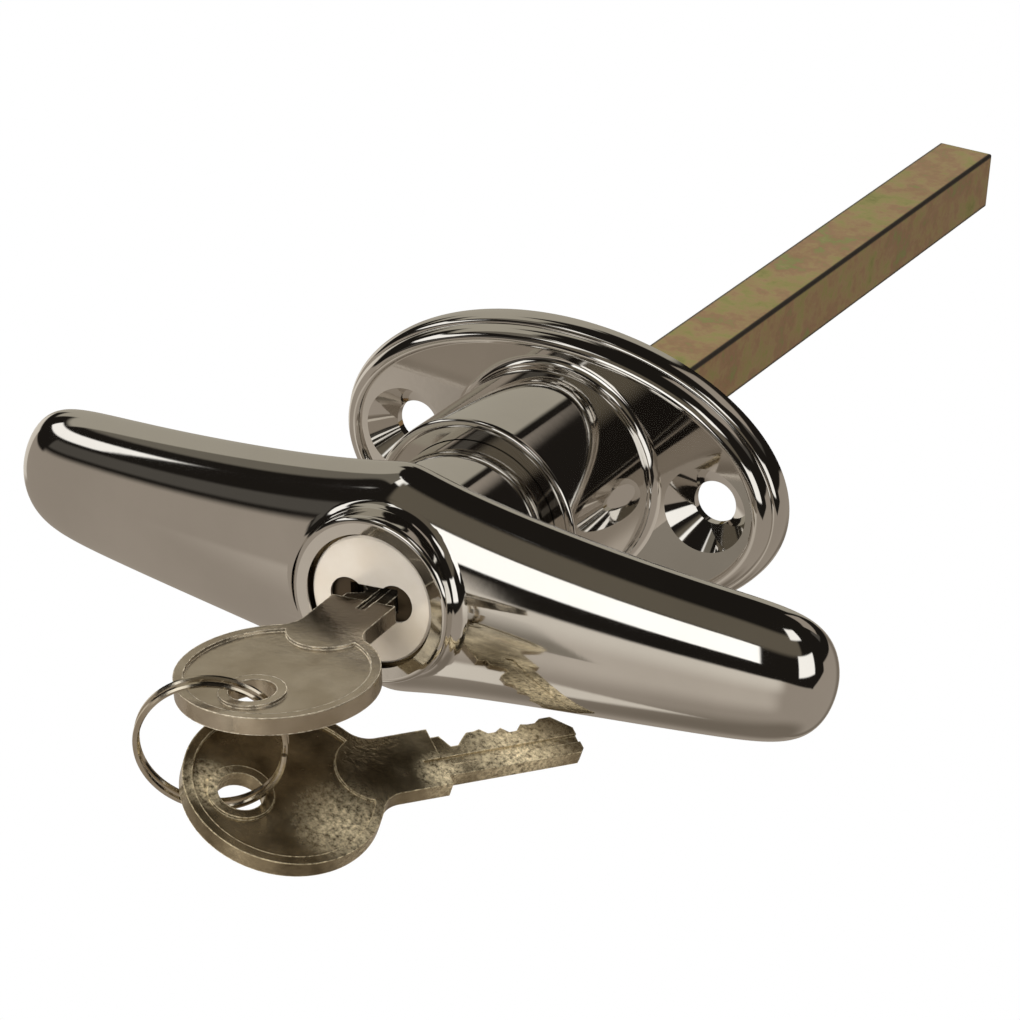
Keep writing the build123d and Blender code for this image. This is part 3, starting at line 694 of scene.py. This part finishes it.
turned(rose_form, [hub_foot[-1], (HUB_RADIUS, HUB_FRONT - HUB_EDGE_ROUND - WALL_OVERLAP)])
turned(rose_form, rounded_edge(HUB_RADIUS, HUB_FRONT, HUB_EDGE_ROUND))
lip_centre = (HUB_LIP_RADIUS + HUB_EDGE_ROUND, HUB_FRONT - HUB_EDGE_ROUND)
lip_round = quarter(*lip_centre, HUB_EDGE_ROUND, HUB_EDGE_ROUND)[::-1]
turned(rose_form, [(HUB_RADIUS - HUB_EDGE_ROUND, HUB_FRONT), lip_round[0]])
turned(rose_form, lip_round)
hub_inside = [
    lip_round[-1],
    (HUB_LIP_RADIUS, HUB_FRONT - HUB_LIP_DEPTH),
    (HUB_BORE_RADIUS, HUB_FRONT - HUB_LIP_DEPTH),
    (HUB_BORE_RADIUS, NOTCH_END),
]
stepped(rose_form, hub_inside)

# The hub's bore with the bolt's three notches, and its hollow back
first = len(rose_form[1])
turned(rose_form, [(HUB_BORE_RADIUS, NOTCH_END), (HUB_BORE_RADIUS, HUB_SEAT_DEPTH)])
drop_faces(
    rose_form,
    first,
    lambda x, y, z: min(abs(x), abs(z)) <= NOTCH_HALF_WIDTH and z <= HUB_BORE_RADIUS / 2,
)
notch_foot = sqrt(HUB_BORE_RADIUS**2 - NOTCH_HALF_WIDTH**2)
notch = [
    (notch_foot, NOTCH_HALF_WIDTH),
    (NOTCH_REACH, NOTCH_HALF_WIDTH),
    (NOTCH_REACH, -NOTCH_HALF_WIDTH),
    (notch_foot, -NOTCH_HALF_WIDTH),
]
for out_x, out_z in NOTCH_DIRECTIONS:
    placed = [(out_x * away - out_z * aside, out_z * away + out_x * aside) for away, aside in notch]
    upright_walls(rose_form, placed, (HUB_SEAT_DEPTH, NOTCH_END))
    flat_end(rose_form, placed, NOTCH_END)
hub_back = [
    (HUB_BORE_RADIUS, HUB_SEAT_DEPTH),
    (HUB_SEAT_RADIUS, HUB_SEAT_DEPTH),
    (HUB_SEAT_RADIUS, 0),
    (HUB_WALL_RADIUS, 0),
    (HUB_WALL_RADIUS, ROSE_POCKET),
]
stepped(rose_form, hub_back)
back_holes = [(-SCREW_OFFSET, SCREW_PAD_RADIUS), (SCREW_OFFSET, SCREW_PAD_RADIUS), (0, HUB_WALL_RADIUS)]
flat_with_holes(rose_form, ROSE_POCKET, oval(ROSE_EDGE_WALL, ROSE_POCKET), back_holes, 1)
patch(rose_form, [oval(ROSE_EDGE_WALL, ROSE_POCKET), oval(ROSE_EDGE_WALL, 0)])
patch(rose_form, [oval(ROSE_EDGE_WALL, 0), oval(0, 0)])
sink_floor = ROSE_FLOOR - (SCREW_HEAD_RADIUS - SCREW_HOLE_RADIUS) / tan(radians(SINK_HALF_ANGLE))
hole = [
    (SCREW_HEAD_RADIUS, ROSE_FLOOR),
    (SCREW_HOLE_RADIUS, sink_floor),
    (SCREW_HOLE_RADIUS, 0),
    (SCREW_PAD_RADIUS, 0),
    (SCREW_PAD_RADIUS, ROSE_POCKET),
]
for place in (-SCREW_OFFSET, SCREW_OFFSET):
    stepped(rose_form, hole, HOLE_SIDES, place)
fine_piece("rose_fine", rose_form, "base", "rose")


# Floor: plain and pale, white to the camera, and not reflected, because the world gives those tones
floor_mesh = bpy.data.meshes.new("floor")
floor_corners = ((-1, -1), (1, -1), (1, 1), (-1, 1))
floor_points = [(x * FLOOR_REACH, y * FLOOR_REACH, 0) for x, y in floor_corners]
floor_mesh.from_pydata(floor_points, [], [(0, 1, 2, 3)])
floor = bpy.data.objects.new("floor", floor_mesh)
floor.location = (0, 0, FLOOR_HEIGHT)
bpy.context.scene.collection.objects.link(floor)
pale, tree = new_material("floor_pale")
out = add(tree, "ShaderNodeOutputMaterial")
paper = add(tree, "ShaderNodeBsdfDiffuse", Color=FLOOR_COLOUR)
white = add(tree, "ShaderNodeEmission", Color=BACKDROP_WHITE, Strength=1.0)
pick = camera_sees(tree, paper.outputs["BSDF"], white.outputs["Emission"])
tree.links.new(pick, out.inputs["Surface"])
floor.data.materials.append(pale)
floor.visible_glossy = False


# Surroundings: a dark studio with softboxes at set directions, white to the camera
world = bpy.data.worlds.new("studio")
world.use_nodes = True
bpy.context.scene.world = world
tree = world.node_tree
tree.nodes.clear()
out = add(tree, "ShaderNodeOutputWorld")
direction = add(tree, "ShaderNodeTexCoord")
split = add(tree, "ShaderNodeSeparateXYZ")
wire(tree, direction, "Generated", split, "Vector")
forward = add(tree, "ShaderNodeMath", operation="MULTIPLY")
forward.inputs[1].default_value = -1.0
wire(tree, split, "Y", forward, 0)
bearing = add(tree, "ShaderNodeMath", operation="ARCTAN2")
wire(tree, split, "X", bearing, 0)
wire(tree, forward, "Value", bearing, 1)
height = add(tree, "ShaderNodeMath", operation="ARCSINE")
wire(tree, split, "Z", height, 0)


def surface_mask(left, right, low, high, soft, fall):
    """Mask of a patch of directions in degrees, whose low and high edges may fall to the right."""
    level = add(tree, "ShaderNodeMath", operation="MULTIPLY_ADD")
    wire(tree, bearing, "Value", level, 0)
    level.inputs[1].default_value = fall
    wire(tree, height, "Value", level, 2)
    shift = fall * left
    edges = [
        (bearing, left - soft, left),
        (bearing, right + soft, right),
        (level, low + shift - soft, low + shift),
        (level, high + shift + soft, high + shift),
    ]
    mask = None
    for source, start, end in edges:
        step = mapped(tree, source.outputs["Value"], radians(start), radians(end))
        mask = step if mask is None else combined(tree, "MULTIPLY", mask, step)
    return mask


# Tones of the studio as chrome shows them, from the dark room to the softboxes
ROOM = (0.013, 0.011, 0.009)
PAPER = (0.340, 0.295, 0.246)
PAPER_NEAR = (0.190, 0.160, 0.127)
PAPER_MID = (0.235, 0.208, 0.170)
PAPER_LIT = (0.520, 0.465, 0.398)
PAPER_BRIGHT = (0.700, 0.645, 0.565)
WALL = (0.395, 0.365, 0.300)
WALL_DIM = (0.155, 0.140, 0.112)
HAZE = (0.080, 0.073, 0.063)
CEILING = (0.128, 0.110, 0.082)
SOFTBOX = (1.400, 1.385, 1.340)
LAMP = (1.150, 1.130, 1.080)

# Each surface: left and right bearing, low and high angle and soft edge in degrees, fall and tone
SURFACES = [
    (-180, 180, -90, 2, 3, 0, PAPER_NEAR),
    (-176, 150, -58, 2, 20, 0, PAPER),
    (-24, 4, -38, -16, 20, 0, PAPER_LIT),
    (-30, -27.5, -33, -15, 4, 0, PAPER_LIT),
    (-27, -18, -33, -15, 1, 0, PAPER_MID),
    (-24, 10, -9, -7, 18, 0, PAPER_BRIGHT),
    (-180, 180, 6, 90, 3, 0, ROOM),
    (-62, -28, -20, 4, 6, 0, PAPER),
    (-17, 34, -4, 12, 3, 0, ROOM),
    (20, 80, -4, 14, 3, 0.17, ROOM),
    (78, 108, -14, 6, 3, -0.35, ROOM),
    (-54, -36, -68, -56, 4, 0, PAPER_BRIGHT),
    (-140, -104, -24, 4, 5, 0, PAPER_BRIGHT),
    (-62, -28, 13, 20, 3, 0, HAZE),
    (-60, -28, 50, 60, 3, 0, LAMP),
    (-30, 50, 32, 54, 8, 0, CEILING),
    (-19, 3, 9, 27, 1.5, 0, SOFTBOX),
    (-84, -50, 45, 58, 3, 0, WALL_DIM),
    (-122, -84, 40, 58, 4, 0, WALL),
    (-152, -118, 24, 44, 5, 0, WALL),
    (-172, -134, -8, 36, 4, 0, WALL),
    (-92, -52, 26, 34, 2, 0, LAMP),
    (46, 82, 2, 27, 3, 0, LAMP),
    (40, 66, 54, 68, 4, 0, LAMP),
    (128, 140, 30, 44, 5, 0, HAZE),
    (140, 178, 36, 56, 4, 0, PAPER),
]
colour = add(tree, "ShaderNodeRGB").outputs["Color"]
colour.default_value = (*ROOM, 1.0)
for *limits, tone in SURFACES:
    layer = add(tree, "ShaderNodeMix", data_type="RGBA", blend_type="MIX")
    tree.links.new(surface_mask(*limits), layer.inputs["Factor"])
    tree.links.new(colour, layer.inputs[6])
    layer.inputs[7].default_value = (*tone, 1.0)
    colour = layer.outputs[2]
surround = add(tree, "ShaderNodeBackground", Strength=1.0)
tree.links.new(colour, surround.inputs["Color"])
backdrop = add(tree, "ShaderNodeBackground", Color=BACKDROP_WHITE, Strength=1.0)
pick = camera_sees(tree, surround.outputs["Background"], backdrop.outputs["Background"])
tree.links.new(pick, out.inputs["Surface"])


def facing(place, aim):
    """Pose at a place that looks towards a point."""
    turn = (Vector(place) - Vector(aim)).to_track_quat("Z", "Y")
    return Matrix.Translation(place) @ turn.to_matrix().to_4x4()


def softbox(name, place, aim, side, power):
    """Square studio light that faces a point and leaves no reflection of its own."""
    light = bpy.data.lights.new(name, "AREA")
    light.shape = "RECTANGLE"
    light.size = side
    light.size_y = side
    light.energy = power
    light.color = SOFTBOX_COLOUR
    lamp = bpy.data.objects.new(name, light)
    lamp.matrix_world = facing(place, aim)
    lamp.visible_glossy = False
    bpy.context.scene.collection.objects.link(lamp)


softbox("overhead", (-0.15, -0.35, 0.9), (0, -0.03, 0), side=0.7, power=9.0)
softbox("front_fill", (-0.35, -0.80, 0.15), (0, -0.05, 0), side=0.5, power=6.0)

# Camera
camera = bpy.data.cameras.new("camera")
camera.lens = CAMERA_LENS
camera.clip_start = CAMERA_NEAR
view = bpy.data.objects.new("camera", camera)
view.matrix_world = facing(CAMERA_PLACE, CAMERA_AIM) @ Matrix.Rotation(radians(CAMERA_ROLL), 4, "Z")
bpy.context.scene.collection.objects.link(view)
bpy.context.scene.camera = view
bpy.context.scene.view_settings.view_transform = "Standard"
